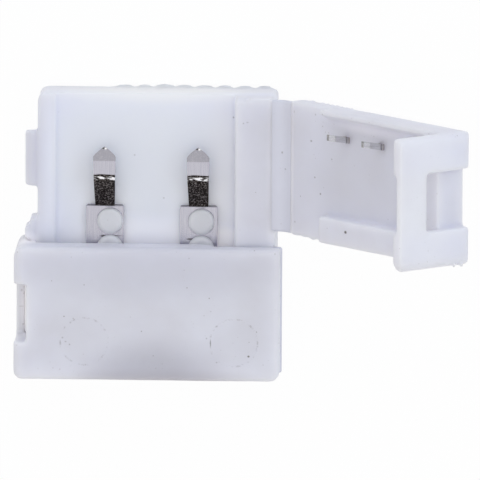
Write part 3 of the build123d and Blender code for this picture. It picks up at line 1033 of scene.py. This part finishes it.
def aimed_camera(look):
    """A camera above the connector, leant and shifted so that the origin falls where it is in the photo."""
    camera = bpy.data.cameras.new("camera")
    camera.sensor_width = 36.0
    camera.lens = camera.sensor_width * look.distance / look.scale
    camera.clip_start = 0.01
    camera.clip_end = 10.0
    obj = bpy.data.objects.new("camera", camera)
    flat = math.cos(look.tilt)
    back = Vector((math.sin(look.swing) * flat, math.sin(look.tilt), math.cos(look.swing) * flat))
    right = Vector((math.cos(look.swing), 0.0, -math.sin(look.swing)))
    up = back.cross(right)
    across = right * math.cos(look.roll) + up * math.sin(look.roll)
    above = up * math.cos(look.roll) - right * math.sin(look.roll)
    pixel = look.scale / PICTURE
    half = PICTURE / 2
    aim = across * ((half - ORIGIN_ACROSS) * pixel) - above * ((half - ORIGIN_DOWN) * pixel)
    turn = Matrix((across, above, back)).transposed()
    obj.matrix_world = Matrix.Translation(aim + back * look.distance) @ turn.to_4x4()
    return obj


def sky(name, strength):
    """Even light from all round, seen as white by the camera, metal and clear plastic."""
    world = bpy.data.worlds.new(name)
    world.use_nodes = True
    tree = world.node_tree
    tree.nodes.clear()
    light = put(tree, "ShaderNodeBackground", {"Color": (1.0, 0.98, 0.96, 1.0), "Strength": strength})
    white = put(tree, "ShaderNodeBackground", {"Color": (1.0, 1.0, 1.0, 1.0), "Strength": 1.0})
    both = put(tree, "ShaderNodeMixShader", {"Fac": seen_plainly(tree), 1: light, 2: white})
    put(tree, "ShaderNodeOutputWorld", {"Surface": both})
    return world


class CONNECTOR_PT_panel(bpy.types.Panel):
    """Pieces and settings of the connector"""

    bl_label = "LED strip connector"
    bl_idname = "CONNECTOR_PT_panel"
    bl_space_type = "VIEW_3D"
    bl_region_type = "UI"
    bl_category = "Connector"

    def draw(self, context):
        for operator in OPERATORS:
            self.layout.operator(operator.bl_idname)
        for key, group in SETTINGS.items():
            box = self.layout.box()
            for name in group.__annotations__:
                box.prop(getattr(context.scene, key), name)


SETTINGS = {
    "connector_moulding": MouldingSettings,
    "connector_nylon": NylonSettings,
    "connector_contacts": ContactSettings,
    "connector_stage": StageSettings,
}
OPERATORS = (
    CONNECTOR_OT_stage,
    CONNECTOR_OT_base,
    CONNECTOR_OT_covers,
    CONNECTOR_OT_webs,
    CONNECTOR_OT_contacts,
    CONNECTOR_OT_pins,
)


def register():
    """Add the settings, the operators and the panel."""
    for cls in (*SETTINGS.values(), *OPERATORS, CONNECTOR_PT_panel):
        bpy.utils.register_class(cls)
    for key, group in SETTINGS.items():
        setattr(bpy.types.Scene, key, PointerProperty(type=group))


def unregister():
    """Take the panel, the operators and the settings away."""
    for key in SETTINGS:
        delattr(bpy.types.Scene, key)
    for cls in reversed((*SETTINGS.values(), *OPERATORS, CONNECTOR_PT_panel)):
        bpy.utils.unregister_class(cls)


# Painted light, shade and glow, and the dirt and tarnish that use has left, in soft ellipsoids on each closed
# part: a shade is its centre, half sizes, colour and amount, a speck its centre, half sizes and amount, and a
# glow has a strength at last

# Painted glow in the near cover's window slot, and under its far corner, lifting the shade there
SLOT_GLOWS = [
    ((-7.5, -4.4, 2.8), (0.9, 2.6, 2.2), 0.1),
    ((-7.65, -4.4, 1.9), (0.3, 2.5, 2.2), 0.12),
    ((-7.4, -0.4, 3.0), (0.9, 0.6, 1.6), 0.15),
]

# Dirt that has gathered in the window slot
SLOT_DIRT = [
    ((-7.85, -3.5, 2.6), (0.09, 0.12, 4.0), 0.3),
    ((-7.7, -3.7, 2.6), (0.08, 0.08, 4.0), 0.35),
    ((-7.85, -4.45, 2.6), (0.22, 0.06, 4.0), 0.2),
    ((-7.75, -5.5, 2.6), (0.08, 0.1, 4.0), 0.3),
    ((-7.95, -6.2, 2.6), (0.12, 0.1, 4.0), 0.4),
]

# Painted glow in the crease between a web and the piece that it grows from, lifting the shade there
CREASE_GLOW = ((6.68, 4.2, 4.2), (0.4, 9.0, 0.5), 0.14)

# Painted light on the floor, the right of the floor and the far end, and painted shade on the rim
BASE_SHADES = [
    ((-1.0, 4.2, 2.4), (14.0, 10.0, 1.5), "ECEFFC", 0.95),
    ((-7.4, 4.2, 3.3), (1.3, 9.0, 1.6), "D0D1DC", 0.9),
    ((4.2, 3.0, 2.4), (2.6, 7.0, 1.5), "EFF0FA", 0.8),
    ((0.0, 8.3, 1.3), (9.0, 1.2, 2.2), "FFFFFF", 0.7),
]
BASE_SPECKS = [
    ((4.41, 6.87, 2.73), (0.08, 0.08, 0.3), 0.4),
    ((5.05, 6.76, 4.2), (0.07, 0.07, 0.3), 0.3),
    ((5.28, 6.82, 4.2), (0.1, 0.06, 0.3), 0.25),
    ((6.87, 6.2, 4.2), (0.09, 0.07, 0.3), 0.3),
    ((-1.3, 4.6, 2.7), (0.08, 0.08, 0.3), 0.25),
    ((0.4, 2.1, 2.7), (0.08, 0.08, 0.3), 0.25),
]
# Painted glow on the floor by the wall's foot and along the near cover, lifting the shade there
BASE_GLOWS = [
    ((4.0, 2.0, 2.7), (1.0, 5.0, 0.5), 0.025),
    ((4.0, -0.3, 2.7), (1.7, 1.0, 0.7), 0.12),
    ((-0.7, -0.3, 2.7), (6.4, 1.8, 0.6), 0.12),
]
# Painted glow on the floor round each contact, lifting the shade beside it: half sizes and strength
CONTACT_GLOW = ((2.5, 3.4, 0.5), 0.055)

# The open cover: painted shade under the entry rib, painted light on the skirt, and painted shade on the
# inside of the plate and in the recess between the ribs
OPEN_COVER_SHADES = [
    ((-0.3, 8.1, 3.5), (5.5, 0.6, 0.8), "C4C4D2", 0.35),
    ((-8.2, 4.2, 2.4), (1.3, 9.0, 4.0), "EEF0FA", 0.5),
    ((0.0, 4.2, 4.3), (9.5, 6.5, 1.2), "D4D5DE", 0.45),
    ((1.0, 4.2, 4.25), (4.6, 3.4, 1.0), "CBCBD2", 0.18),
]
OPEN_COVER_SPECKS = [
    ((4.47, 7.67, 4.25), (0.08, 0.08, 0.2), 0.3),
    ((2.96, 7.94, 3.5), (0.08, 0.08, 0.2), 0.3),
    ((4.85, 6.08, 4.25), (0.12, 0.08, 0.2), 0.5),
    ((2.99, 5.25, 4.25), (0.08, 0.07, 0.2), 0.4),
    ((4.51, 4.0, 4.25), (0.09, 0.08, 0.2), 0.5),
    ((4.0, 3.1, 4.25), (0.1, 0.09, 0.2), 0.6),
    ((6.28, 1.18, 4.25), (0.08, 0.08, 0.2), 0.35),
    ((0.8, 1.36, 3.47), (0.16, 0.12, 0.3), 0.95),
    ((6.4, 7.6, 4.25), (0.06, 0.12, 0.2), 0.25),
]
# Painted glow under the entry rib and at the foot of the bottom rib, lifting the shade there
OPEN_COVER_GLOWS = [((-0.3, 7.4, 4.1), (4.4, 0.5, 0.8), 0.1), ((-0.8, 1.78, 4.1), (5.0, 0.5, 0.8), 0.1)]

# The near cover: painted shade where it bridges the hollow for the strip, along its entry end and along and
# near its far top edge, and two marks of ejector pins
NEAR_COVER_SHADES = [
    ((-0.2, -8.3, 5.4), (5.4, 3.3, 2.0), "9F9EAA", 0.45),
    ((0.5, -8.6, 5.4), (9.0, 1.3, 2.0), "A19DA2", 0.5),
    ((0.0, -0.5, 5.3), (9.5, 0.35, 0.8), "B4B4C0", 0.3),
    ((0.0, -1.6, 5.4), (10.0, 2.6, 1.0), "CBCCD8", 0.4),
]
NEAR_COVER_MARKS = [((-4.05, -5.9, 0.0), 1.38), ((4.6, -5.9, 0.0), 1.38)]
NEAR_COVER_SPECKS = [
    ((-5.3, -5.7, 5.4), (0.08, 0.08, 0.5), 0.3),
    ((-5.12, -5.93, 5.4), (0.09, 0.06, 0.5), 0.3),
    ((-4.89, -6.1, 5.4), (0.07, 0.07, 0.5), 0.35),
    ((-4.84, -4.81, 5.4), (0.08, 0.08, 0.5), 0.25),
    ((3.03, -5.65, 5.4), (0.07, 0.07, 0.5), 0.3),
    ((3.26, -5.94, 5.4), (0.05, 0.34, 0.5), 0.55),
    ((3.62, -7.05, 5.4), (0.08, 0.06, 0.5), 0.3),
    ((5.46, -6.68, 5.4), (0.1, 0.08, 0.5), 0.8),
]

WEB_SPECKS = [((7.5, 4.15, 4.2), (0.08, 0.08, 0.4), 0.5), ((7.3, 5.1, 4.2), (0.08, 0.1, 0.4), 0.4)]

# Tarnish on the contacts' plates beside the near cover's edge
CONTACT_SHADES = [
    ((-3.05, -0.12, 2.95), (0.3, 0.09, 0.3), "2A211C", 0.9),
    ((-2.4, -0.1, 2.95), (0.6, 0.03, 0.3), "4A3D36", 0.8),
    ((1.95, -0.25, 2.95), (0.3, 0.08, 0.3), "3A302A", 0.8),
]


def main():
    """Build everything in order."""
    register()
    tips = [(low.x + high.x) / 2 / MM for low, high in (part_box("contact_left"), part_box("contact_right"))]
    milky_nylon(
        "moulded_nylon",
        BASE_SHADES,
        specks=[*BASE_SPECKS, *SLOT_DIRT],
        glows=[*SLOT_GLOWS, (*CREASE_GLOW[:2], 0.05), *BASE_GLOWS, *[((x, 1.1, 2.7), *CONTACT_GLOW) for x in tips]],
    )
    milky_nylon(
        "moulded_nylon_open_cover",
        OPEN_COVER_SHADES,
        specks=OPEN_COVER_SPECKS,
        glows=[*OPEN_COVER_GLOWS, CREASE_GLOW],
        turn=OPEN_ANGLE,
    )
    # Light can't spread inside so thin a web, so most of it is turned back at the skin
    milky_nylon(
        "moulded_nylon_web",
        specks=WEB_SPECKS,
        within=0.1,
        # The web's colours, a little darker than the rest of the nylon, are a painted shade
        tints=(linear("DDDFEC"), linear("D9DAE6")),
    )
    # The near cover's nylon, with painted shade over the hollow and along its edges
    milky_nylon(
        "moulded_nylon_shaded_over_hollow",
        NEAR_COVER_SHADES,
        NEAR_COVER_MARKS,
        [*NEAR_COVER_SPECKS, *SLOT_DIRT],
        SLOT_GLOWS,
    )
    # Each contact's point carries a dark dot and a painted highlight, a bright dot
    dark_dots = [((x - 0.06, 5.16, 3.7), (0.12, 0.08, 0.9), "2A2624", 0.95) for x in tips]
    painted_highlights = [((x + 0.07, 5.14, 3.7), (0.1, 0.08, 0.9), "FFFFFF", 1.0) for x in tips]
    tinned_bronze("drawn_tinned_bronze", [*CONTACT_SHADES, *dark_dots, *painted_highlights])
    # The pins are cut across the strip, so their lines run the other way, and bare bronze shows at the root
    roots = [about_hinge(OPEN_ANGLE) @ Vector((x, 6.53, PLATE_FACE)) for x in (-1.45, 1.65)]
    tinned_bronze(
        "drawn_tinned_bronze_blade",
        [(tuple(root), (0.7, 0.7, 0.35), "A8907E", 0.9) for root in roots],
        (1.2, 9.0, 1.2),
        ("A8A6AA", "FFFFFF"),
    )
    bpy.ops.connector.stage()
    bpy.ops.connector.base()
    bpy.ops.connector.covers()
    bpy.ops.connector.webs()
    bpy.ops.connector.contacts()
    bpy.ops.connector.pins()


if __name__ == "__main__":
    main()
